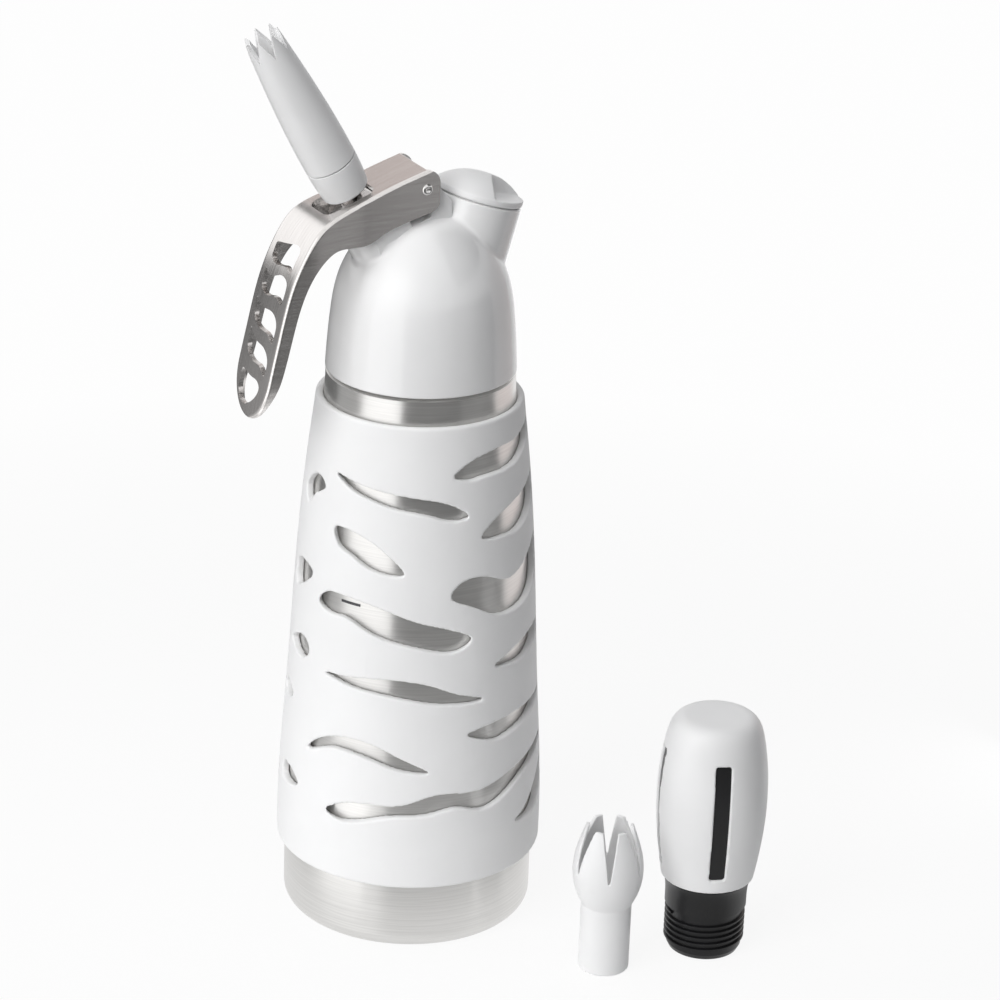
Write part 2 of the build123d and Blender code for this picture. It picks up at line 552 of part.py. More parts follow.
def tail_end(inset):
    """Block that rounds the end of the tail in the YZ plane, moved in by inset."""
    half_width = TAIL_HALF_WIDTH - inset
    height = TAIL_END_DROP + STRAP[0][1] + OVERCUT
    outline = Pos(0, -TAIL_END_DROP + height / 2) * Rectangle(2 * half_width, height)
    outline += Pos(0, -TAIL_END_DROP) * Ellipse(half_width, TAIL_END_LENGTH - inset)
    return extrude(Plane.YZ * outline, amount=-2 * STRAP[-1][0], both=True)


def lever_flare(inset):
    """Block with the lever's outline from above, moved in by inset."""
    narrow = LEVER_HALF_WIDTH - inset
    wide = TAIL_HALF_WIDTH - inset
    front = STRAP[-1][0] - OVERCUT
    rear = CHEEK_REACH + 2 * OVERCUT
    side = Curve() + [
        Line((front, wide), (FLARE_END, wide)),
        Spline((FLARE_END, wide), (FLARE_START, narrow), tangents=((1, 0), (1, 0))),
        Line((FLARE_START, narrow), (rear, narrow))]
    outline = make_face(side + [
        Line((rear, narrow), (rear, 0)),
        Line((rear, 0), (front, 0)),
        Line((front, 0), (front, wide))])
    return extrude(outline + mirror(outline, Plane.XZ), amount=-2 * STRAP[-1][1], both=True)


def strap_x(height):
    """X of the strap's outer face at a height."""
    for (x0, z0), (x1, z1) in zip(STRAP, STRAP[1:]):
        if z1 <= height <= z0:
            return x0 + (x1 - x0) * (height - z0) / (z1 - z0)
    return STRAP[-1][0]


def is_strap_edge(edge):
    """True for the long outer edges of the strap."""
    middle = edge @ 0.5
    on_side = abs(middle.Y) > LEVER_HALF_WIDTH - FACE_GAP
    on_face = middle.X < strap_x(middle.Z) + LEVER_SHEET
    return on_side and on_face and edge.length > LEVER_HALF_WIDTH


def tail_window(outline):
    """Block that cuts one wave window through the tail."""
    face = Plane.YZ * make_face(Spline(outline, periodic=True))
    middle = sum(z for y, z in outline) / len(outline)
    return Pos(strap_x(middle), 0, 0) * extrude(face, amount=LEVER_HALF_WIDTH / 2, both=True)


def lever_slot():
    """Slot in the strap that the valve stem stands in."""
    (x0, z0), (x1, z1) = STRAP[1:3]
    middle = -NOZZLE_REACH - STRAP_SLOT_OFFSET
    height = z0 + (z1 - z0) * (middle - x0) / (x1 - x0)
    slope = degrees(atan2(z0 - z1, x0 - x1))
    outline = RectangleRounded(STRAP_SLOT_LENGTH, 2 * STRAP_SLOT_HALF_WIDTH, STRAP_SLOT_CORNER)
    return Pos(middle, 0, height) * Rot(0, -slope, 0) * extrude(outline, amount=LEVER_HALF_WIDTH, both=True)


def lever():
    outer = strap_line(0)
    inner = strap_line(LEVER_SHEET)
    rear_top = outer @ 0
    corner = (CHEEK_REACH, rear_top.Y - CHEEK_REACH)
    heel = (CHEEK_REACH, CHEEK_CORNER_RISE - CHEEK_DROP)
    lower = Spline([(CHEEK_REACH - CHEEK_CORNER_RUN, -CHEEK_DROP)] + list(FLANGE))
    channel = make_face(Curve() + [
        outer,
        Line(outer @ 1, lower @ 1),
        lower,
        RadiusArc(lower @ 0, heel, -CHEEK_CORNER_RADIUS),
        Line(heel, corner),
        RadiusArc(corner, rear_top, -CHEEK_REACH)])
    # everything behind the sheet, open at the rear
    behind = CHEEK_REACH + OVERCUT
    above = rear_top.Y + OVERCUT
    hollow = make_face(Curve() + [
        inner,
        Line(inner @ 1, (behind, (inner @ 1).Y)),
        Line((behind, (inner @ 1).Y), (behind, above)),
        Line((behind, above), (rear_top.X, above)),
        Line((rear_top.X, above), inner @ 0)])
    body = crosswise(channel, TAIL_HALF_WIDTH) & tail_end(0) & lever_flare(0)
    body = fillet(body.edges().filter_by(is_strap_edge), LEVER_EDGE)
    body -= crosswise(hollow, TAIL_HALF_WIDTH) & tail_end(LEVER_SHEET) & lever_flare(LEVER_SHEET)
    body -= lever_slot()
    for outline in TAIL_WINDOWS:
        body -= tail_window(outline)
    return PIVOT * (body - crosswise(Circle(PIN_RADIUS), LEVER_HALF_WIDTH * 2))


def lever_pin():
    end = LEVER_HALF_WIDTH + PIN_HEAD_HEIGHT
    pin = crosswise(Circle(PIN_RADIUS), end)
    pin += crosswise(Circle(PIN_HEAD_RADIUS), end) - crosswise(Circle(PIN_HEAD_RADIUS), LEVER_HALF_WIDTH)
    half_deep = LEVER_HALF_WIDTH + PIN_HEAD_HEIGHT / 2
    pin -= crosswise(Circle(PIN_DIMPLE_RADIUS), end) - crosswise(Circle(PIN_DIMPLE_RADIUS), half_deep)
    return PIVOT * pin


def valve_stem():
    stem = disc(STEM_RADIUS, STEM_BOTTOM, STEM_TOP)
    stem += disc(STEM_SHOULDER_RADIUS, STEM_SHOULDER_TOP - STEM_SHOULDER_HEIGHT, STEM_SHOULDER_TOP)
    stem += disc(VALVE_SEAL_RADIUS - RETAINER_INSET, STEM_BOTTOM, VALVE_SEAL_BOTTOM)
    port = COUNTERBORE_BOTTOM - PORT_DROP
    stem -= disc(STEM_BORE, port - PORT_RADIUS, STEM_TOP)
    stem -= Pos(0, 0, port) * Rot(90, 0, 0) * Cylinder(PORT_RADIUS, 4 * STEM_RADIUS)
    for drop in (UPPER_ORING_DROP, LOWER_ORING_DROP):
        middle = COUNTERBORE_BOTTOM - drop
        half = ORING_WIDTH / 2 + FACE_GAP
        stem -= ring(STEM_RADIUS - ORING_GROOVE, STEM_RADIUS + OVERCUT, middle - half, middle + half)
    return NOZZLE * stem


def valve_seal():
    return NOZZLE * ring(STEM_RADIUS, VALVE_SEAL_RADIUS, VALVE_SEAL_BOTTOM, SEAT_TOP - FACE_GAP)


def stem_oring(drop):
    middle = COUNTERBORE_BOTTOM - drop
    return NOZZLE * ring(STEM_RADIUS - ORING_GROOVE, STEM_HOLE_RADIUS - RUNNING_FIT,
                         middle - ORING_WIDTH / 2, middle + ORING_WIDTH / 2)


def valve_spring():
    top = STEM_SHOULDER_TOP - STEM_SHOULDER_HEIGHT - SPRING_WIRE / 2 - FACE_GAP
    bottom = COUNTERBORE_BOTTOM + SPRING_WIRE / 2 + FACE_GAP
    path = Helix(pitch=(top - bottom) / SPRING_TURNS, height=top - bottom, radius=SPRING_RADIUS,
                 center=(0, 0, bottom))
    wire = Plane(origin=path @ 0, z_dir=path % 0) * Circle(SPRING_WIRE / 2)
    return NOZZLE * sweep(wire, path=path, is_frenet=True)


def tip_adapter():
    foot = ADAPTER_BASE_RADIUS - ADAPTER_EDGE
    top = ADAPTER_HEIGHT + STUB_LENGTH
    body = spin(
        Line((0, 0), (foot, 0)),
        Line((foot, 0), (ADAPTER_BASE_RADIUS, ADAPTER_EDGE)),
        Spline((ADAPTER_BASE_RADIUS, ADAPTER_EDGE), (ADAPTER_TOP_RADIUS, ADAPTER_HEIGHT),
               tangents=((0.12, 1), (0, 1))),
        Line((ADAPTER_TOP_RADIUS, ADAPTER_HEIGHT), (STUB_RADIUS, ADAPTER_HEIGHT)),
        Line((STUB_RADIUS, ADAPTER_HEIGHT), (STUB_RADIUS, top)),
        Line((STUB_RADIUS, top), (0, top)),
        Line((0, top), (0, 0)))
    body -= disc(STEM_RADIUS, -OVERCUT, STEM_TOP)
    body -= disc(STUB_BORE, STEM_TOP, top + OVERCUT)
    return NOZZLE * body


def tip_seal():
    bottom = ADAPTER_HEIGHT + FACE_GAP
    return NOZZLE * ring(STUB_RADIUS + RUNNING_FIT, ADAPTER_TOP_RADIUS - TIP_SEAL_INSET,
                         bottom, bottom + SEAM_GAP)


def tip_insert():
    return ring(INSERT_BORE, INSERT_RADIUS, 0, INSERT_LENGTH)


def notches(count, turn, depth, width, mouth, length):
    """V notches round the mouth of a tip, points down, the first one at the angle turn."""
    outline = Polyline((0, length - depth), (width / 2, length + OVERCUT), (-width / 2, length + OVERCUT),
                       close=True)
    wedge = extrude(Plane.YZ * make_face(outline), amount=mouth * 3, dir=(1, 0, 0))
    return [Rot(0, 0, turn + 360 / count * index) * wedge for index in range(count)]


def star_tip():
    bore_top = INSERT_LENGTH + BORE_STEP
    inner_end = TIP_END_RADIUS - TIP_WALL
    base = ADAPTER_TOP_RADIUS
    side = Spline((base, 0), (base - TIP_BELLY_INSET, TIP_BELLY_HEIGHT),
                  (base - TIP_NECK_INSET, TIP_NECK_HEIGHT), (TIP_END_RADIUS, TIP_LENGTH),
                  tangents=((0, 1), (-0.1, 1)))
    body = spin(
        Line((INSERT_RADIUS, 0), (base, 0)),
        side,
        Line((TIP_END_RADIUS, TIP_LENGTH), (inner_end, TIP_LENGTH)),
        Line((inner_end, TIP_LENGTH), (INSERT_BORE, bore_top)),
        Line((INSERT_BORE, bore_top), (INSERT_RADIUS, INSERT_LENGTH)),
        Line((INSERT_RADIUS, INSERT_LENGTH), (INSERT_RADIUS, 0)))
    width = 2 * pi * TIP_END_RADIUS / TIP_TEETH
    turn = TIP_TURN + 180 / TIP_TEETH
    for notch in notches(TIP_TEETH, turn, TOOTH_DEPTH, width, TIP_END_RADIUS, TIP_LENGTH):
        body -= notch
    return body


def tulip_tip():
    bore_top = INSERT_LENGTH + BORE_STEP
    foot = TULIP_STEM_RADIUS - TULIP_EDGE
    bore_end = TULIP_STEM_LENGTH + TULIP_BORE_RISE
    inner_mouth = TULIP_MOUTH_RADIUS - TIP_WALL
    body = spin(
        Line((INSERT_RADIUS, 0), (foot, 0)),
        Line((foot, 0), (TULIP_STEM_RADIUS, TULIP_EDGE)),
        Line((TULIP_STEM_RADIUS, TULIP_EDGE), (TULIP_STEM_RADIUS, TULIP_STEM_LENGTH)),
        Spline((TULIP_STEM_RADIUS, TULIP_STEM_LENGTH), (TULIP_BALL_RADIUS, TULIP_BALL_HEIGHT),
               (TULIP_MOUTH_RADIUS, TULIP_LENGTH), tangents=((0.6, 1), (-0.35, 1))),
        Line((TULIP_MOUTH_RADIUS, TULIP_LENGTH), (inner_mouth, TULIP_LENGTH)),
        Spline((INSERT_BORE, bore_end), (TULIP_BALL_RADIUS - TIP_WALL, TULIP_BALL_HEIGHT),
               (inner_mouth, TULIP_LENGTH), tangents=((1, 1), (-0.35, 1))),
        Line((INSERT_BORE, bore_end), (INSERT_BORE, bore_top)),
        Line((INSERT_BORE, bore_top), (INSERT_RADIUS, INSERT_LENGTH)),
        Line((INSERT_RADIUS, INSERT_LENGTH), (INSERT_RADIUS, 0)))
    for notch in notches(TULIP_PETALS, TULIP_TURN, PETAL_SLIT_DEPTH, PETAL_SLIT_WIDTH,
                         TULIP_BALL_RADIUS, TULIP_LENGTH):
        body -= notch
    return body


def cap_seal_ring(gap, outer):
    """Square ring at the groove of the cap's plug, with a gap above, below and inside."""
    half = CAP_SEAL_WIDTH / 2 + gap
    inner = CAP_PLUG_RADIUS - CAP_SEAL_SECTION - gap
    return ring(inner, outer, -CAP_SEAL_DEPTH - half, -CAP_SEAL_DEPTH + half)


def thumb_pocket():
    """Block that cuts the thumb pocket down to the cap's flange, open at the rim."""
    outline = make_face(Polyline(THUMB_POCKET, close=True))
    block = extrude(outline, amount=CAP_DOME + OVERCUT, taper=-POCKET_LEAN)
    return Pos(0, 0, SEAM_GAP + CAP_FLANGE) * block


def inlet_cap():
    base = SEAM_GAP
    rim = base + CAP_FLANGE
    top = rim + CAP_DOME
    middle = (CAP_RADIUS * CAP_MIDDLE[0], rim + CAP_DOME * CAP_MIDDLE[1])
    body = spin(
        Line((0, base), (CAP_RADIUS - CAP_EDGE, base)),
        Line((CAP_RADIUS - CAP_EDGE, base), (CAP_RADIUS, base + CAP_EDGE)),
        Line((CAP_RADIUS, base + CAP_EDGE), (CAP_RADIUS, rim)),
        Spline((CAP_RADIUS, rim), middle, (0, top), tangents=((-1, 1), (-1, 0))),
        Line((0, top), (0, base)))
    body += ring(CAP_PLUG_RADIUS - CAP_PLUG_WALL, CAP_PLUG_RADIUS, -CAP_PLUG_LENGTH, base)
    body -= cap_seal_ring(FACE_GAP, CAP_PLUG_RADIUS + OVERCUT)
    return INLET * (body - thumb_pocket())


def cap_seal():
    return INLET * cap_seal_ring(0, INLET_BORE_RADIUS - RUNNING_FIT)


def piercing_pin():
    base = -INLET_DEPTH
    ledge = base + PIERCER_BASE_HEIGHT
    tip = base + PIERCER_HEIGHT
    body = spin(
        Line((0, base), (PIERCER_BASE_RADIUS, base)),
        Line((PIERCER_BASE_RADIUS, base), (PIERCER_BASE_RADIUS, ledge)),
        Line((PIERCER_BASE_RADIUS, ledge), (PIERCER_RADIUS, ledge)),
        Line((PIERCER_RADIUS, ledge), (PIERCER_RADIUS, tip - PIERCER_POINT)),
        Line((PIERCER_RADIUS, tip - PIERCER_POINT), (0, tip)),
        Line((0, tip), (0, base)))
    for side in (-1, 1):
        body -= Pos(side * VENT_OFFSET, 0, 0) * disc(VENT_RADIUS, base - OVERCUT, tip)
    return INLET * body


def piercer_seal():
    inner = PIERCER_RADIUS + RUNNING_FIT
    base = PIERCER_BASE_HEIGHT - INLET_DEPTH
    return INLET * ring(inner, inner + PIERCER_SEAL_WALL, base, base + PIERCER_SEAL_HEIGHT)


def check_valve():
    top = -INLET_DEPTH
    bottom = top - CHECK_VALVE_LENGTH
    outer = CHARGER_PORT_RADIUS - RUNNING_FIT
    body = disc(outer, bottom, top)
    body -= disc(outer - CHECK_VALVE_WALL, bottom + CHECK_VALVE_FLOOR, top + OVERCUT)
    return INLET * (body - disc(CHECK_HOLE_RADIUS, bottom - OVERCUT, top))


def check_valve_lip():
    top = -INLET_DEPTH - CHECK_VALVE_LENGTH
    wide = CHARGER_PORT_RADIUS - CHECK_LIP_INSET
    return INLET * spin(
        Line((0, top), (wide, top)),
        Line((wide, top), (CHECK_HOLE_RADIUS, top - CHECK_LIP_LENGTH)),
        Line((CHECK_HOLE_RADIUS, top - CHECK_LIP_LENGTH), (0, top - CHECK_LIP_LENGTH)),
        Line((0, top - CHECK_LIP_LENGTH), (0, top)))


def shell_barrel(inset):
    """Solid barrel inside the holder shell's outer face, moved in by inset, with a rounded crown."""
    side = Spline((CORE_RADIUS + SHELL_FOOT_WALL - inset, SHELL_BOTTOM),
                  (CORE_RADIUS + SHELL_BELLY_WALL - inset, SHELL_BOTTOM + SHELL_BELLY_HEIGHT),
                  (CORE_RADIUS + SHELL_TOP_WALL - inset, SHELL_TOP - SHELL_TOP_DROP),
                  tangents=((0.18, 1), (-0.22, 1)))
    return spin(
        Line((0, SHELL_BOTTOM), side @ 0),
        side,
        Spline(side @ 1, (SHELL_CROWN_RADIUS, SHELL_TOP), tangents=((-0.22, 1), (-1, 0))),
        Line((SHELL_CROWN_RADIUS, SHELL_TOP), (0, SHELL_TOP)),
        Line((0, SHELL_TOP), (0, SHELL_BOTTOM)))


def window_bars():
    """Upright blocks through the windows of the holder's shell."""
    bottom = SHELL_BOTTOM + SHELL_WINDOW_START
    top = SHELL_TOP - SHELL_WINDOW_END
    block = Box(CORE_RADIUS * 2, SHELL_WINDOW_WIDTH, top - bottom, align=(Align.MIN, Align.CENTER, Align.MIN))
    return [Rot(0, 0, HOLDER_TURN + 360 / SHELL_WINDOWS * index) * Pos(0, 0, bottom) * block
            for index in range(SHELL_WINDOWS)]


def holder_shell():
    body = shell_barrel(0) - disc(CORE_RADIUS, 0, SHELL_TOP - CORE_TOP_DROP)
    for bar in window_bars():
        body -= bar
    return body


def holder_core():
    end_radius = HOLDER_THREAD_ROOT - HOLDER_END_CHAMFER
    grip_radius = HOLDER_THREAD_ROOT + GRIP_STEP
    core_top = SHELL_TOP - CORE_TOP_DROP
    grip_top = (grip_radius + GRIP_FLARE, GRIP_TOP)
    body = spin(
        Line((0, 0), (end_radius, 0)),
        Line((end_radius, 0), (HOLDER_THREAD_ROOT, HOLDER_END_CHAMFER * 2)),
        Line((HOLDER_THREAD_ROOT, HOLDER_END_CHAMFER * 2), (HOLDER_THREAD_ROOT, GRIP_BOTTOM)),
        Line((HOLDER_THREAD_ROOT, GRIP_BOTTOM), (grip_radius, GRIP_BOTTOM)),
        Spline((grip_radius, GRIP_BOTTOM), grip_top, tangents=((0, 1), (0.45, 1))),
        Line(grip_top, (CORE_RADIUS, GRIP_TOP)),
        Line((CORE_RADIUS, GRIP_TOP), (CORE_RADIUS, core_top)),
        Line((CORE_RADIUS, core_top), (0, core_top)),
        Line((0, core_top), (0, 0)))
    ribs = shell_barrel(SHELL_WINDOW_DEPTH) - disc(CHARGER_RADIUS, 0, SHELL_TOP)
    for bar in window_bars():
        body += ribs & bar
    length = GRIP_BOTTOM - HOLDER_THREAD_START - HOLDER_THREAD_END
    body += thread(HOLDER_THREAD_ROOT, HOLDER_THREAD_CREST, HOLDER_THREAD_PITCH, HOLDER_THREAD_START, length)
    return body - disc(CHARGER_RADIUS, -OVERCUT, CHARGER_LENGTH)


TIP_PLACE = NOZZLE * Pos(0, 0, TIP_BASE)
TULIP_PLACE = Pos(TULIP_X, TULIP_Y, 0)
HOLDER_PLACE = Pos(HOLDER_X, HOLDER_Y, 0)

NODES = {
    "bottle": bottle,
    "sleeve": sleeve,
    "level_mark": level_mark,
    "head_gasket": head_gasket,
    "head": head,
    "lever": lever,
    "lever_pin": lever_pin,
    "valve_stem": valve_stem,
    "valve_seal": valve_seal,
    "stem_oring_upper": lambda: stem_oring(UPPER_ORING_DROP),
    "stem_oring_lower": lambda: stem_oring(LOWER_ORING_DROP),
    "valve_spring": valve_spring,
    "tip_adapter": tip_adapter,
    "tip_seal": tip_seal,
    "star_tip": lambda: TIP_PLACE * star_tip(),
    "star_tip_insert": lambda: TIP_PLACE * tip_insert(),
    "inlet_cap": inlet_cap,
    "cap_seal": cap_seal,
    "piercing_pin": piercing_pin,
    "piercer_seal": piercer_seal,
    "check_valve": check_valve,
    "check_valve_lip": check_valve_lip,
    "tulip_tip": lambda: TULIP_PLACE * tulip_tip(),
    "tulip_tip_insert": lambda: TULIP_PLACE * tip_insert(),
    "holder_shell": lambda: HOLDER_PLACE * holder_shell(),
    "holder_core": lambda: HOLDER_PLACE * holder_core(),
}

os.makedirs("parts", exist_ok=True)
for name, make in NODES.items():
    part = make()
    part.label = name
    export_step(part, "parts/" + name + ".step")
    print(name, round(part.volume, 1))
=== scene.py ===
# %% [markdown]
# # A whipped cream dispenser, dressed
#
# The solids come in as a fixed frame, in metres, at rest. This notebook gives them the looks of the
# real thing: a drawn steel flask in a white silicone sleeve, an enamelled head, a bent sheet steel
# lever, and moulded plastic tips, cap and charger holder. Each step says what the piece or the finish
# is on the real object, how it could be made, and why this way was chosen.

# %% Load the frame
import json
from math import cos, pi, radians, sin

import bmesh
import bpy
from mathutils import Matrix, Quaternion, Vector

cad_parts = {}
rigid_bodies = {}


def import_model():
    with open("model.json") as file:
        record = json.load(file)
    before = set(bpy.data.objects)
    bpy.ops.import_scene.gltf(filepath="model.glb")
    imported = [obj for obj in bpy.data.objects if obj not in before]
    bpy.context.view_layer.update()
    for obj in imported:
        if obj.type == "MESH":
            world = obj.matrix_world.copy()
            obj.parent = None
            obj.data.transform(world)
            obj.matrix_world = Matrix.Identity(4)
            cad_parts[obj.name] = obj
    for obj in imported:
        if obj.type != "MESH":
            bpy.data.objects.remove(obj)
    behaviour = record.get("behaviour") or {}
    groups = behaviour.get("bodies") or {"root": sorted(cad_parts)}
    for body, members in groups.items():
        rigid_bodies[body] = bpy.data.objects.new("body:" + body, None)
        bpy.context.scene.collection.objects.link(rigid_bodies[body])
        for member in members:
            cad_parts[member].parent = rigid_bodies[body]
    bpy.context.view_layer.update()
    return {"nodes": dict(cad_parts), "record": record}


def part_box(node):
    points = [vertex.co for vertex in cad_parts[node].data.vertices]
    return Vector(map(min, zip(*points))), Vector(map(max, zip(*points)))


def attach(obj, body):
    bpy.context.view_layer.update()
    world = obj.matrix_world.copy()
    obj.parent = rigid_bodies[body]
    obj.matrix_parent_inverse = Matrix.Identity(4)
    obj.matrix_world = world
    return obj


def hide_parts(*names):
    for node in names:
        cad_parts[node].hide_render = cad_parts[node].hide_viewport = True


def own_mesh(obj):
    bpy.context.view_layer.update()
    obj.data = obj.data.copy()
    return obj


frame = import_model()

MM = 0.001
nodes = frame["nodes"]

# %% [markdown]
# ## Helpers
#
# Colours are written as the sRGB hex codes that a colour picker shows, and Blender's shaders want
# linear light, so one function turns one into the other. Node trees are long when they are typed out
# socket by socket. One small function adds a node, sets its properties and links or fills its inputs.


# %% Colour, object and node helpers
def linear(code):
    """Linear RGBA of an sRGB hex code such as #F4F3F1."""
    channels = [int(code[i:i + 2], 16) / 255 for i in (1, 3, 5)]
    return [c / 12.92 if c <= 0.04045 else ((c + 0.055) / 1.055) ** 2.4 for c in channels] + [1.0]


def new_object(name, data):
    """A new object in the scene that shows the data, such as a mesh or a light."""
    piece = bpy.data.objects.new(name, data)
    bpy.context.scene.collection.objects.link(piece)
    return piece


def add_node(tree, kind, inputs=None, **settings):
    """Adds a node. Settings are its properties, and inputs maps a socket to a value or an output."""
    node = tree.nodes.new(kind)
    for name, value in settings.items():
        setattr(node, name, value)
    for socket, value in (inputs or {}).items():
        if isinstance(value, bpy.types.NodeSocket):
            tree.links.new(value, node.inputs[socket])
        else:
            node.inputs[socket].default_value = value
    return node


def new_material(name):
    """An empty node material and its tree."""
    material = bpy.data.materials.new(name)
    material.use_nodes = True
    material.node_tree.nodes.clear()
    return material, material.node_tree


print("white", [round(c, 3) for c in linear("#F4F3F1")])


# %% Pattern helpers
def grain(tree, spacing, detail=2.0):
    """Noise whose patches are spacing = (x, y, z) millimetres across, in the object's own place."""
    place = add_node(tree, "ShaderNodeTexCoord")
    scale = add_node(tree, "ShaderNodeMapping", {"Vector": place.outputs["Object"]})
    scale.inputs["Scale"].default_value = [1 / (size * MM) for size in spacing]
    noise = add_node(tree, "ShaderNodeTexNoise", {"Vector": scale.outputs[0], "Scale": 1.0, "Detail": detail})
    return noise.outputs[0]


def spread(tree, value, low, high, lowest=0.3, highest=0.7):
    """A value from lowest to highest, spread over low to high. A noise is mostly from 0.3 to 0.7."""
    return add_node(tree, "ShaderNodeMapRange", {"Value": value, "From Min": lowest, "From Max": highest,
                                                 "To Min": low, "To Max": high}).outputs[0]


def tinted(tree, noise, dark, light):
    """A colour between two near ones, as the noise goes from low to high."""
    return add_node(tree, "ShaderNodeMix", {0: spread(tree, noise, 0.0, 1.0), 6: linear(dark),
                                            7: linear(light)}, data_type="RGBA").outputs[2]


print("helpers ready")

# %% [markdown]
# ## The camera
#
# A long lens from a little above, as in a catalogue picture. The camera is placed round the point that
# it looks at: so many degrees round, so many up, so far away, and rolled a little about its own axis.

# %% Camera
CAMERA_AIM = Vector((0.0227, -0.0126, 0.1394))
CAMERA_AZIMUTH = radians(29.0)
CAMERA_ELEVATION = radians(22.56)
CAMERA_DISTANCE = 1.1465
CAMERA_ROLL = radians(2.21)
CAMERA_LENS = 131.67
SENSOR_WIDTH = 36.0


def away(azimuth, elevation):
    """The direction from the object to a place so far round and so far up, both in radians."""
    return Vector((-sin(azimuth) * cos(elevation), -cos(azimuth) * cos(elevation), sin(elevation)))


camera = new_object("camera", bpy.data.cameras.new("camera"))
to_camera = away(CAMERA_AZIMUTH, CAMERA_ELEVATION)
camera.location = CAMERA_AIM + to_camera * CAMERA_DISTANCE
camera.rotation_mode = "QUATERNION"
camera.rotation_quaternion = (-to_camera).to_track_quat("-Z", "Y") @ Quaternion((0, 0, 1), CAMERA_ROLL)
camera.data.lens = CAMERA_LENS
camera.data.sensor_width = SENSOR_WIDTH
bpy.context.scene.camera = camera
print("camera at", [round(v, 3) for v in camera.location])

# %% [markdown]
# ## Backdrop and floor
#
# Catalogue pictures stand on white. The world is white to the eye and in reflections, and dimmer as a light,
# so that the white pieces keep their shading. The floor is a pale sheet that catches a soft shadow and is
# lifted towards white where the camera or a reflection sees it. Its colour fades to grey away from the
# object. That fade is a painted pool of light, so that only the floor near the object throws light back up.

# %% World
AMBIENT = 0.23              # the world's strength as a light, where 1 is the white that the eye sees

world = bpy.data.worlds.new("studio")
bpy.context.scene.world = world
world.use_nodes = True
world.node_tree.nodes.clear()


def seen_directly(tree):
    """1 for camera, glossy and transmission rays, 0 for the rays that carry light."""
    rays = add_node(tree, "ShaderNodeLightPath")
    camera_or_glossy = add_node(tree, "ShaderNodeMath", {0: rays.outputs["Is Camera Ray"],
                                                         1: rays.outputs["Is Glossy Ray"]},
                                operation="MAXIMUM")
    return add_node(tree, "ShaderNodeMath", {0: camera_or_glossy.outputs[0],
                                             1: rays.outputs["Is Transmission Ray"]},
                    operation="MAXIMUM").outputs[0]


sky = world.node_tree
lamp_part = add_node(sky, "ShaderNodeBackground", {"Color": linear("#FBFCFF"), "Strength": AMBIENT})
seen_part = add_node(sky, "ShaderNodeBackground", {"Color": linear("#FFFFFF"), "Strength": 1.0})
both = add_node(sky, "ShaderNodeMixShader", {0: seen_directly(sky), 1: lamp_part.outputs[0],
                                             2: seen_part.outputs[0]})
add_node(sky, "ShaderNodeOutputWorld", {"Surface": both.outputs[0]})
print("world", world.name, "at", AMBIENT)

# %% Floor
FLOOR_SIZE = 12.0
FLOOR_DROP = 0.05 * MM      # just under the pieces, so that no two faces share a place
# the sheet's fade from near white to grey is a painted pool of light: bright near the object, darker away
# from it
POOL_FADE_START = 0.16          # metres from the middle to where the white sheet starts to darken
POOL_FADE_END = 0.46            # and to where it is darkest, so that it throws less light up at the pieces
NEAR_LIFT = 0.90            # share of the sheet that is plain white to the eye, near the object
FAR_LIFT = 0.985            # and far from it

material, tree = new_material("pale_sheet")
place = add_node(tree, "ShaderNodeTexCoord")
reach = add_node(tree, "ShaderNodeVectorMath", {0: place.outputs["Object"]},
                 operation="LENGTH").outputs["Value"]
# painted pool of light: the sheet's colour falls off with distance from the middle, and the lift below keeps
# the fade faint to the eye
pool_falloff = spread(tree, reach, 0.0, 1.0, POOL_FADE_START, POOL_FADE_END)
sheet = add_node(tree, "ShaderNodeMix", {0: pool_falloff, 6: linear("#F8F8F8"), 7: linear("#6E6E6E")},
                 data_type="RGBA")
matte = add_node(tree, "ShaderNodeBsdfDiffuse", {"Color": sheet.outputs[2]})
white = add_node(tree, "ShaderNodeEmission", {"Color": linear("#FFFFFF"), "Strength": 1.0})
share = spread(tree, reach, NEAR_LIFT, FAR_LIFT, POOL_FADE_START, POOL_FADE_END)
lift = add_node(tree, "ShaderNodeMath", {0: seen_directly(tree), 1: share}, operation="MULTIPLY")
mixed = add_node(tree, "ShaderNodeMixShader", {0: lift.outputs[0], 1: matte.outputs[0],
                                               2: white.outputs[0]})
add_node(tree, "ShaderNodeOutputMaterial", {"Surface": mixed.outputs[0]})
bpy.ops.mesh.primitive_plane_add(size=FLOOR_SIZE, location=(0, 0, -FLOOR_DROP))
floor = bpy.context.object
floor.name = "floor"
floor.data.materials.append(material)
print("floor", FLOOR_SIZE, "m wide")

# %% [markdown]
# ## Lamps
#
# White plastic wants one broad soft light. A big lamp stands to the left of the camera, a fill beside
# it keeps the left end from going dark, one overhead lights the tops, and a weaker one behind on the
# right draws the rim. The lamps themselves show in no reflection: that is the cards' work.

# %% Soft lamps
# degrees round from the camera and up, metres away, metres wide, watts
LAMPS = {
    "key_lamp": (36, 28, 1.3, 0.9, 11.9),
    "fill_lamp": (100, 14, 1.3, 0.8, 2.4),
    "top_lamp": (20, 78, 1.2, 0.7, 2.6),
    "rim_lamp": (-155, 20, 1.2, 0.6, 1.0),
    # low on the right, as a white card laid near the foot would throw light back
    "bounce_lamp": (-118, -24, 0.26, 0.06, 0.05),
}


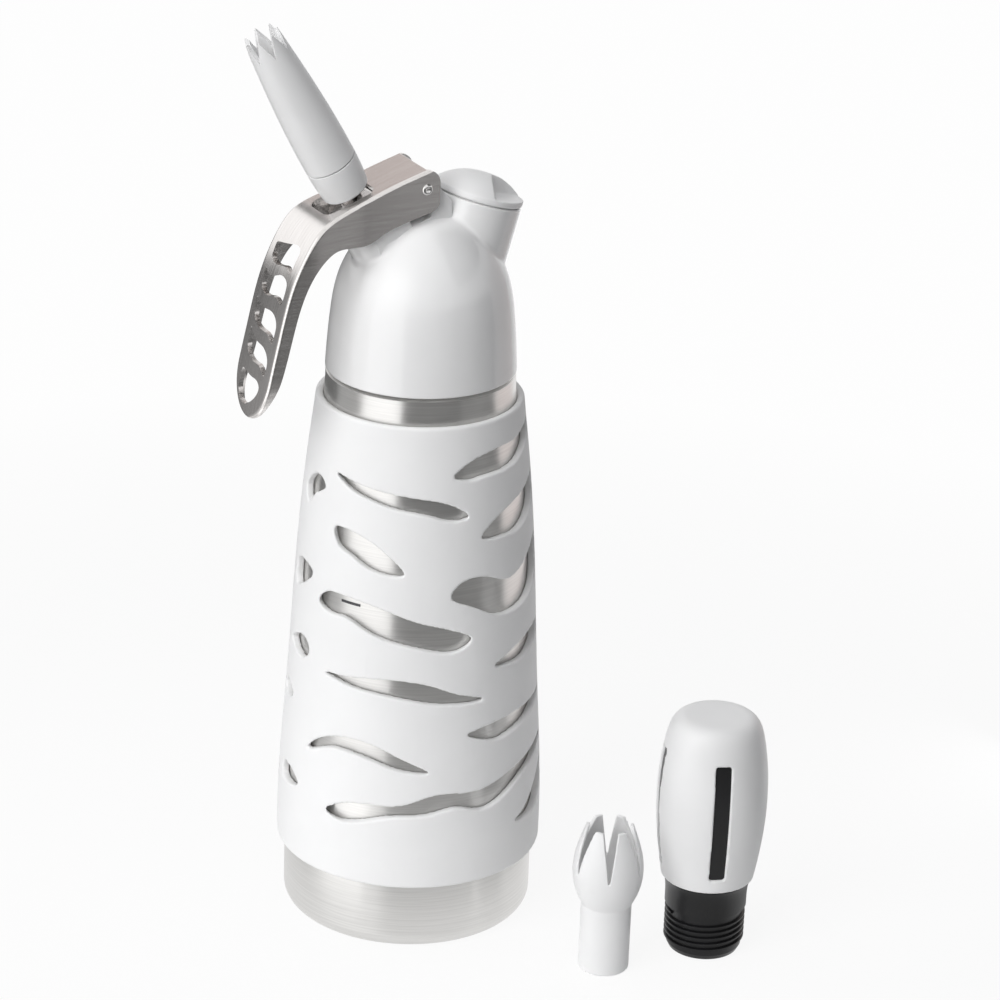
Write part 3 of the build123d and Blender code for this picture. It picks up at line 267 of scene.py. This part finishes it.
def soft_lamp(name, azimuth, elevation, distance, size, power):
    """A square lamp that points at the object, seen by neither the camera nor a reflection."""
    towards = away(CAMERA_AZIMUTH + radians(azimuth), radians(elevation))
    lamp = new_object(name, bpy.data.lights.new(name, "AREA"))
    lamp.data.size = size
    lamp.data.energy = power
    lamp.location = CAMERA_AIM + towards * distance
    lamp.rotation_mode = "QUATERNION"
    lamp.rotation_quaternion = (-towards).to_track_quat("-Z", "Y")
    lamp.visible_glossy = False
    lamp.visible_camera = False


for name, setting in LAMPS.items():
    soft_lamp(name, *setting)
print("lamps", list(LAMPS))

# %% [markdown]
# ## Cards
#
# Steel shows nothing but what stands round it. In an all white room it would look white, so grey and bright
# cards stand round the object, where a photographer would put them. No lamp lights them: each glows with its
# own painted brightness and shows only in reflections. The bands of light and dark on the steel are painted
# reflections, and the light on the white pieces is left alone. A card is one bent strip, with its brightness
# painted at its corners.

# %% Cards
CARD_STEP = 5               # degrees round between two corners of a card


def card(name, foot, head, stops, colour="#FFFFFF"):
    """A bent card that shows only in reflections. Foot and head are its (distance, height) in metres.

    Each stop is (degrees round from the camera, brightness at the foot, brightness at the head).
    """
    shape = bmesh.new()
    shades = shape.verts.layers.float_color.new("shade")
    columns = []
    for (start, *low), (end, *high) in zip(stops, stops[1:]):
        count = max(1, round(abs(end - start) / CARD_STEP))
        for index in range(count + 1):
            share = index / count
            turn = CAMERA_AZIMUTH + radians(start + (end - start) * share)
            column = []
            for (distance, height), before, after in zip((foot, head), low, high):
                corner = shape.verts.new((-sin(turn) * distance, -cos(turn) * distance, height))
                shade = before + (after - before) * share
                corner[shades] = [shade * part for part in linear(colour)[:3]] + [1.0]
                column.append(corner)
            columns.append(column)
    for (a, b), (c, d) in zip(columns, columns[1:]):
        shape.faces.new((a, c, d, b))
    bmesh.ops.remove_doubles(shape, verts=shape.verts, dist=0.01 * MM)
    data = bpy.data.meshes.new(name)
    shape.to_mesh(data)
    shape.free()
    material, tree = new_material(name)
    # the card glows with the brightness painted at its corners and is seen only in reflections: a painted
    # reflection, not a lamp
    shade = add_node(tree, "ShaderNodeAttribute", attribute_name="shade")
    glow = add_node(tree, "ShaderNodeEmission", {"Color": shade.outputs["Color"], "Strength": 1.0})
    add_node(tree, "ShaderNodeOutputMaterial", {"Surface": glow.outputs[0]})
    data.materials.append(material)
    piece = new_object(name, data)
    for kind in ("camera", "diffuse", "transmission", "volume_scatter", "shadow"):
        setattr(piece, "visible_" + kind, False)


# painted reflections that the flask and the head mirror
card("card_front", (0.20, 0.0), (0.20, 0.24),
     ((18, 0.30, 0.05), (-66, 0.30, 0.05), (-70, 0.45, 0.10), (-82, 0.45, 0.10), (-86, 0.30, 0.06),
      (-96, 0.34, 0.12)))
card("card_left", (0.24, 0.0), (0.24, 0.235),
     ((70, 0.55, 0.36), (106, 0.55, 0.36), (110, 0.25, 0.05), (172, 0.25, 0.05)))
card("card_bright", (0.34, 0.0), (0.34, 0.5), ((20, 1.5, 1.5), (66, 1.5, 1.5)))
card("card_right", (0.30, 0.0), (0.30, 0.3), ((-100, 0.9, 0.7), (-140, 0.9, 0.7)), "#FBF2F0")
# painted reflections that the lever's cheek, its bend and its flat top mirror
card("card_cheek", (0.19, 0.135), (0.19, 0.24), ((-46, 0.30, 0.30), (-70, 0.30, 0.30)))
card("card_bend", (0.24, 0.25), (0.24, 0.48), ((98, 1.2, 1.2), (131, 1.2, 1.2)))
card("card_rear_flag", (0.45, 0.42), (0.45, 0.80), ((134, 0.05, 0.05), (144, 0.05, 0.05)))
card("card_rear_top", (0.45, 0.42), (0.45, 0.80), ((146, 0.55, 0.62), (180, 0.62, 0.66)), "#FFF3EF")
card("card_overhead_right", (0.30, 0.36), (0.10, 0.60), ((-50, 0.05, 0.05), (-122, 0.05, 0.05)))
# laid on the sheet: painted reflections that the foot of the flask mirrors
card("card_sheet_front", (0.075, 0.0004), (0.19, 0.0004),
     ((22, 0.9, 0.9), (8, 0.56, 0.45), (-66, 0.56, 0.45), (-72, 0.85, 0.8), (-80, 0.85, 0.8),
      (-88, 0.55, 0.5), (-112, 0.55, 0.5)))
card("card_sheet_left", (0.075, 0.0004), (0.19, 0.0004),
     ((30, 1.6, 1.6), (58, 1.6, 1.6), (80, 0.7, 0.6), (130, 0.7, 0.6)))
print("cards made")

# %% [markdown]
# ## Brushed flask steel
#
# The flask is drawn from stainless sheet and brushed on a lathe. Its scratches run round it, so it
# spreads a highlight up and down and keeps it narrow sideways. That could be drawn with a very fine
# bump, but the shader's own anisotropy, turned by a quarter, does it at no cost. A noise stretched
# round the flask then varies the tint, the roughness and the height a little.

# %% Flask steel
BRUSH_LENGTH = 24.0         # millimetres that one scratch runs round the flask
BRUSH_WIDTH = 0.5           # drawn coarser than the real 0.1 mm, which would not show
STEEL_MARK = 0.02           # depth of the marks on both sheet steels, in millimetres


def flask_steel():
    """18/8 stainless, brushed on a lathe after drawing: long soft bands up and down."""
    material, tree = new_material("brushed_stainless_18_8")
    scratches = grain(tree, (BRUSH_LENGTH, BRUSH_LENGTH, BRUSH_WIDTH), detail=3.0)
    bump = add_node(tree, "ShaderNodeBump", {"Height": scratches, "Strength": 0.05,
                                             "Distance": STEEL_MARK * MM})
    turn = add_node(tree, "ShaderNodeTangent", direction_type="RADIAL", axis="Z")
    steel = add_node(tree, "ShaderNodeBsdfPrincipled", {
        "Base Color": tinted(tree, scratches, "#D6D5D3", "#E3E2E0"), "Metallic": 1.0,
        "Normal": bump.outputs[0], "Roughness": spread(tree, scratches, 0.285, 0.34),
        "Anisotropic": 0.8, "Anisotropic Rotation": 0.25, "Tangent": turn.outputs[0]})
    add_node(tree, "ShaderNodeOutputMaterial", {"Surface": steel.outputs[0]})
    return material


# %% [markdown]
# ## Satin lever steel
#
# The lever is cut from stainless sheet and ground on a belt along its length, and then bent. The lines
# run along it on the top and the tail, and along the cheeks, which were ground flat. Two stretched
# noises stand for the two directions, and the way that a face looks chooses between them.

# %% Lever steel
STRAP_GRAIN = (14.0, 0.35, 14.0)    # millimetres: long along the strap, fine across it
CHEEK_GRAIN = (12.0, 14.0, 0.6)     # long along the cheek, fine up and down


def lever_steel():
    """Stainless sheet, belt-ground: a soft mirror with straight lines in it."""
    material, tree = new_material("satin_stainless_sheet")
    facing = add_node(tree, "ShaderNodeSeparateXYZ",
                      {0: add_node(tree, "ShaderNodeTexCoord").outputs["Normal"]})
    sideways = add_node(tree, "ShaderNodeMath", {0: facing.outputs["Y"]}, operation="ABSOLUTE")
    lines = add_node(tree, "ShaderNodeMix", {0: spread(tree, sideways.outputs[0], 0.0, 1.0, 0.6, 0.8),
                                             2: grain(tree, STRAP_GRAIN, detail=3.0),
                                             3: grain(tree, CHEEK_GRAIN)}).outputs[0]
    bump = add_node(tree, "ShaderNodeBump", {"Height": lines, "Strength": 0.05,
                                             "Distance": STEEL_MARK * MM})
    steel = add_node(tree, "ShaderNodeBsdfPrincipled", {
        "Base Color": tinted(tree, lines, "#DEDAD8", "#EAE7E5"), "Metallic": 1.0,
        "Normal": bump.outputs[0], "Roughness": spread(tree, lines, 0.20, 0.265)})
    add_node(tree, "ShaderNodeOutputMaterial", {"Surface": steel.outputs[0]})
    return material


# %% [markdown]
# ## Turned steel
#
# The valve stem, the rivet, the spring and the inserts are small turned or drawn parts, brighter than
# the sheet. At this size the tool's marks are only a slight unevenness in how sharp the mirror is.

# %% Small turned parts
TURNING_MARK = 0.35         # millimetres, drawn coarser than a real feed of 0.05 mm


def turned_steel():
    """Bright stainless with fine marks from the tool."""
    material, tree = new_material("turned_stainless")
    marks = grain(tree, (TURNING_MARK, TURNING_MARK, TURNING_MARK), detail=3.0)
    steel = add_node(tree, "ShaderNodeBsdfPrincipled", {
        "Base Color": linear("#E0DFDE"), "Metallic": 1.0, "Roughness": spread(tree, marks, 0.10, 0.20)})
    add_node(tree, "ShaderNodeOutputMaterial", {"Surface": steel.outputs[0]})
    return material


# %% [markdown]
# ## Enamel, plastics and rubber
#
# The head is sprayed and stoved, the sleeve is moulded in silicone, the tips, cap and shell are
# polypropylene, and the holder's core is glass filled nylon. All are one colour with a skin: a fine
# texture from the mould or the spray, and a slight change of tint over larger patches. So one function
# makes them all, and each has its own colour, gloss, and size and depth of skin. Only the enamel has a
# clear coat. Each one's gloss varies within a narrow band, because a wide one looks blotchy.

# %% Coated, moulded and rubber finishes
TINT_PATCH = 22.0           # millimetres across a patch of slightly different tint
GLOSS_SWAY = 0.03           # how far the roughness goes to either side


def moulded(name, light, dark, roughness, pore, depth, coat=0.0, coat_roughness=0.1):
    """A coloured surface with a fine skin. Pore is the size of its texture and depth its height, in mm."""
    material, tree = new_material(name)
    skin = grain(tree, (pore, pore, pore), detail=3.0)
    patches = grain(tree, (TINT_PATCH, TINT_PATCH, TINT_PATCH))
    bump = add_node(tree, "ShaderNodeBump", {"Height": skin, "Strength": 0.5, "Distance": depth * MM})
    surface = add_node(tree, "ShaderNodeBsdfPrincipled", {
        "Base Color": tinted(tree, patches, dark, light), "Normal": bump.outputs[0],
        "Roughness": spread(tree, skin, roughness - GLOSS_SWAY, roughness + GLOSS_SWAY),
        "Coat Weight": coat, "Coat Roughness": coat_roughness})
    add_node(tree, "ShaderNodeOutputMaterial", {"Surface": surface.outputs[0]})
    return material


finishes = {
    "brushed_steel": flask_steel(),
    "lever_steel": lever_steel(),
    "polished_steel": turned_steel(),
    # sprayed enamel: a clear glossy skin with a slight orange peel
    "white_enamel": moulded("white_stoved_enamel", "#F5F5F5", "#F2F2F2", 0.32, 4.0, 0.006, 0.8, 0.05),
    # liquid silicone rubber: dead matte, with the fine erosion texture of its mould
    "white_silicone": moulded("white_silicone_rubber", "#F6F6F6", "#F3F3F3", 0.62, 0.35, 0.012),
    # moulded polypropylene: satin
    "white_plastic": moulded("white_polypropylene", "#F4F4F4", "#F1F1F1", 0.36, 0.6, 0.004),
    # glass filled nylon: dark, satin, slightly mottled
    "black_plastic": moulded("black_glass_filled_nylon", "#1B1B1D", "#151516", 0.34, 0.5, 0.008),
    # printed ink: a thin even film
    "grey_print": moulded("pad_printed_ink", "#4A4A4C", "#3E3E40", 0.5, 0.3, 0.002),
    # nitrile rubber: black and matte
    "seal_rubber": moulded("black_nitrile_rubber", "#1E1E1E", "#171717", 0.6, 0.4, 0.01),
}
slot_of = {part["node"]: part["material_slot"] for part in frame["record"]["subparts"]}
body_of = {name: piece.parent.name.split(":")[1] for name, piece in nodes.items()}
for name, piece in nodes.items():
    piece.data.materials.clear()
    piece.data.materials.append(finishes[slot_of[name]])
print("finishes", sorted(finishes))

# %% [markdown]
# ## Soft edges on the moulded pieces
#
# A moulded piece has no sharp edge: rubber and plastic leave the mould with a small radius on every
# rim, and that radius draws the thin light line that the eye reads as thickness. A bevel on a mesh
# with thousands of short edges tears, so each piece is rebuilt as an even skin by the voxel remesh,
# and a few rounds of smoothing wear its edges down. The voxel is about as wide as the edge is round.


# %% Finish a piece
def finish_piece(piece, node):
    """Bakes a piece's modifiers, puts it on its node's body and lets it stand for the node."""
    graph = bpy.context.evaluated_depsgraph_get()
    graph.update()
    mesh = bpy.data.meshes.new_from_object(piece.evaluated_get(graph))
    mesh.name = piece.name
    piece.modifiers.clear()
    piece.data = mesh
    mesh.materials.clear()
    mesh.materials.append(finishes[slot_of[node]])
    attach(piece, body_of[node])
    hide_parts(node)
    print(piece.name, len(mesh.polygons), "faces")


# %% Rebuild a moulded piece
MERGE = 0.001 * MM          # the solids' triangles are loose until their corners are merged


def merged_copy(node, name):
    """A copy of a node's mesh with its corners merged, as a new object."""
    mesh = nodes[node].data.copy()
    mesh.name = name
    for attribute in ("custom_normal", "sharp_face", "sharp_edge"):
        if attribute in mesh.attributes:
            mesh.attributes.remove(mesh.attributes[attribute])
    shape = bmesh.new()
    shape.from_mesh(mesh)
    bmesh.ops.remove_doubles(shape, verts=shape.verts, dist=MERGE)
    bmesh.ops.dissolve_degenerate(shape, edges=shape.edges, dist=MERGE)
    shape.to_mesh(mesh)
    shape.free()
    return new_object(name, mesh)


def soften(node, name, voxel, rounds, keep=1.0):
    """The node as an even skin of voxel millimetres, its edges worn down by rounds of smoothing."""
    piece = merged_copy(node, name)
    skin = piece.modifiers.new("skin", "REMESH")
    skin.mode = "VOXEL"
    skin.voxel_size = voxel * MM
    skin.use_smooth_shade = True
    wear = piece.modifiers.new("wear", "SMOOTH")
    wear.factor = 0.5
    wear.iterations = rounds
    if keep < 1.0:
        thin = piece.modifiers.new("thin", "DECIMATE")
        thin.ratio = keep
    finish_piece(piece, node)


# the sleeve is large, so it is thinned to stay under 200,000 triangles
soften("sleeve", "grip_sleeve", 0.46, 3, keep=0.20)
soften("inlet_cap", "inlet_dust_cap", 0.30, 2)
soften("tulip_tip", "tulip_nozzle", 0.28, 2)
soften("holder_shell", "charger_shell", 0.45, 2)

# %% [markdown]
# ## Broken edges
#
# The nozzle adapter is a thin turned moulding with edges far finer than a voxel, so it gets a narrow
# bevel on the merged solid. The flat faces are first freed from their triangles, and the normals are
# weighted by area, so that a large face stays flat in its reflections and only the bevel turns. The
# lever's windows and the star tip's teeth end in points that a bevel would fray, so those two pieces
# keep their solids.

# %% Bevel the adapter
FLAT_ANGLE = radians(0.3)   # faces that meet at less than this are one face
BREAK_ANGLE = radians(38)   # edges sharper than this are broken


def break_edges(node, name, width):
    """The node with its sharp edges bevelled by width millimetres, and flat faces that shade flat."""
    piece = merged_copy(node, name)
    shape = bmesh.new()
    shape.from_mesh(piece.data)
    bmesh.ops.dissolve_limit(shape, angle_limit=FLAT_ANGLE, verts=shape.verts, edges=shape.edges)
    shape.to_mesh(piece.data)
    shape.free()
    piece.data.shade_smooth()
    broken = piece.modifiers.new("broken", "BEVEL")
    broken.width = width * MM
    broken.segments = 2
    broken.limit_method = "ANGLE"
    broken.angle_limit = BREAK_ANGLE
    piece.modifiers.new("whole", "TRIANGULATE")
    even = piece.modifiers.new("even", "WEIGHTED_NORMAL")
    even.mode = "FACE_AREA_WITH_ANGLE"
    even.weight = 80
    even.keep_sharp = True
    finish_piece(piece, node)


break_edges("tip_adapter", "nozzle_adapter", 0.15)

# %% [markdown]
# ## The pivot rivet
#
# A rivet's head is domed by the tool that closes it, with a dimple in the middle. The dome mirrors
# the whole room, so the head shows a light ring, a dark ring and a bright middle. It is turned from
# one outline round the pin's axis, from the middle of one head to the middle of the other.

# %% Rivet
SHEET_OUTSIDE = 10.0 * MM   # from the middle to the outside of the lever's cheek
RIVET_STEPS = 48
# (radius as a share of the head, height over the sheet as a share of the head's height)
RIVET_OUTLINE = ((0.0, 0.42), (0.16, 0.45), (0.30, 0.58), (0.42, 0.84), (0.52, 0.98), (0.62, 1.0),
                 (0.74, 0.93), (0.86, 0.72), (0.95, 0.42), (1.0, 0.1), (1.0, -0.2), (0.7, -0.2))
rivet_low, rivet_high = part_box("lever_pin")
pin_centre = (rivet_low + rivet_high) / 2
pin_reach = (rivet_high.y - rivet_low.y) / 2
head_radius = (rivet_high.z - rivet_low.z) / 2


def rivet_points(side):
    """The rivet's outline from its dimple out to its shank, on one side of the lever."""
    return [Vector((share * head_radius, 0, side * (SHEET_OUTSIDE + rise * (pin_reach - SHEET_OUTSIDE))))
            for share, rise in RIVET_OUTLINE]


shape = bmesh.new()
verts = [shape.verts.new(point) for point in rivet_points(1) + rivet_points(-1)[::-1]]
edges = [shape.edges.new(pair) for pair in zip(verts, verts[1:])]
bmesh.ops.spin(shape, geom=verts + edges, axis=(0, 0, 1), cent=(0, 0, 0), angle=2 * pi,
               steps=RIVET_STEPS)
bmesh.ops.remove_doubles(shape, verts=shape.verts, dist=MERGE)
bmesh.ops.dissolve_degenerate(shape, edges=shape.edges, dist=MERGE)
bmesh.ops.recalc_face_normals(shape, faces=shape.faces)
# spun about Z, then laid along Y and moved to the pin
bmesh.ops.transform(shape, matrix=Matrix.Translation(pin_centre) @ Matrix.Rotation(pi / 2, 4, "X"),
                    verts=shape.verts)
mesh = bpy.data.meshes.new("pivot_rivet")
shape.to_mesh(mesh)
shape.free()
mesh.shade_smooth()
finish_piece(new_object("pivot_rivet", mesh), "lever_pin")

# %% [markdown]
# ## The return spring
#
# A coil spring between the head and the valve stem gets shorter when the lever is pressed. A stiff coil that
# only rides on the head would stand in the stem's way, and this spring is such a stiff copy of its solid:
# smooth along the wire, square at its ends, on a mesh of its own.

# %% Return spring
NOZZLE_TILT = radians(-29.6)
WIRE_END_ANGLE = radians(40)    # the wire is smooth along its length, and its ends are cut square

spring = merged_copy("valve_spring", "return_spring")
spring.data.shade_smooth()
spring.data.set_sharp_from_angle(angle=WIRE_END_ANGLE)
finish_piece(spring, "valve_spring")
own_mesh(spring)

# %% [markdown]
# ## O-rings, by one rule
#
# Every O-ring is the same thing at another size: a round rubber cord, closed to a ring. Geometry
# Nodes suit that. One tree takes the ring's radius, the cord's thickness, and where the ring lies,
# sweeps a circle along a circle, and every O-ring is one use of it. The flat seals are cut from sheet
# rubber, so their solids are already right and only get the rubber.

# %% The ring tree
RING_SIDES = 72
CORD_SIDES = 16

ring_tree = bpy.data.node_groups.new("seal_ring", "GeometryNodeTree")
ring_sockets = {}
for label, kind in (("Ring Radius", "NodeSocketFloat"), ("Cord Radius", "NodeSocketFloat"),
                    ("Centre", "NodeSocketVector"), ("Turn", "NodeSocketVector"),
                    ("Finish", "NodeSocketMaterial")):
    socket = ring_tree.interface.new_socket(name=label, in_out="INPUT", socket_type=kind)
    ring_sockets[label] = socket.identifier
ring_tree.interface.new_socket(name="Geometry", in_out="OUTPUT", socket_type="NodeSocketGeometry")
given = add_node(ring_tree, "NodeGroupInput")
path = add_node(ring_tree, "GeometryNodeCurvePrimitiveCircle", {"Resolution": RING_SIDES,
                                                                "Radius": given.outputs["Ring Radius"]})
cord = add_node(ring_tree, "GeometryNodeCurvePrimitiveCircle", {"Resolution": CORD_SIDES,
                                                                "Radius": given.outputs["Cord Radius"]})
swept = add_node(ring_tree, "GeometryNodeCurveToMesh", {"Curve": path.outputs["Curve"],
                                                        "Profile Curve": cord.outputs["Curve"]})
placed = add_node(ring_tree, "GeometryNodeTransform", {"Geometry": swept.outputs[0],
                                                       "Translation": given.outputs["Centre"],
                                                       "Rotation": given.outputs["Turn"]})
real = add_node(ring_tree, "GeometryNodeRealizeInstances", {0: placed.outputs[0]})
coloured = add_node(ring_tree, "GeometryNodeSetMaterial", {"Geometry": real.outputs[0],
                                                           "Material": given.outputs["Finish"]})
add_node(ring_tree, "NodeGroupOutput", {0: coloured.outputs[0]})
print("ring tree", len(ring_tree.nodes), "nodes")

# %% One ring for each O-ring
INLET_TILT = radians(16.0)


def o_ring(node, name, tilt):
    """A round ring in a square one's place. Tilt is its axis from upright, about Y, in radians."""
    low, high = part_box(node)
    outer = (high.y - low.y) / 2
    # the box of a tilted ring is as tall as the ring seen askew plus its thickness
    thick = ((high.z - low.z) - 2 * outer * sin(abs(tilt))) / cos(tilt)
    piece = new_object(name, bpy.data.meshes.new(name))
    rule = piece.modifiers.new("ring", "NODES")
    rule.node_group = ring_tree
    for label, value in (("Ring Radius", outer - thick / 2), ("Cord Radius", thick / 2),
                         ("Centre", (low + high) / 2), ("Turn", (0.0, tilt, 0.0)),
                         ("Finish", finishes["seal_rubber"])):
        rule[ring_sockets[label]] = value
    finish_piece(piece, node)
    piece.data.shade_smooth()
    print(name, "outer", round(outer / MM, 2), "thick", round(thick / MM, 2))


o_ring("stem_oring_upper", "stem_ring_upper", NOZZLE_TILT)
o_ring("stem_oring_lower", "stem_ring_lower", NOZZLE_TILT)
o_ring("cap_seal", "cap_ring_seal", INLET_TILT)

# %% [markdown]
# ## Last setting
#
# The picture is seen through the Standard view transform.

# %% Finish
bpy.context.scene.view_settings.view_transform = "Standard"
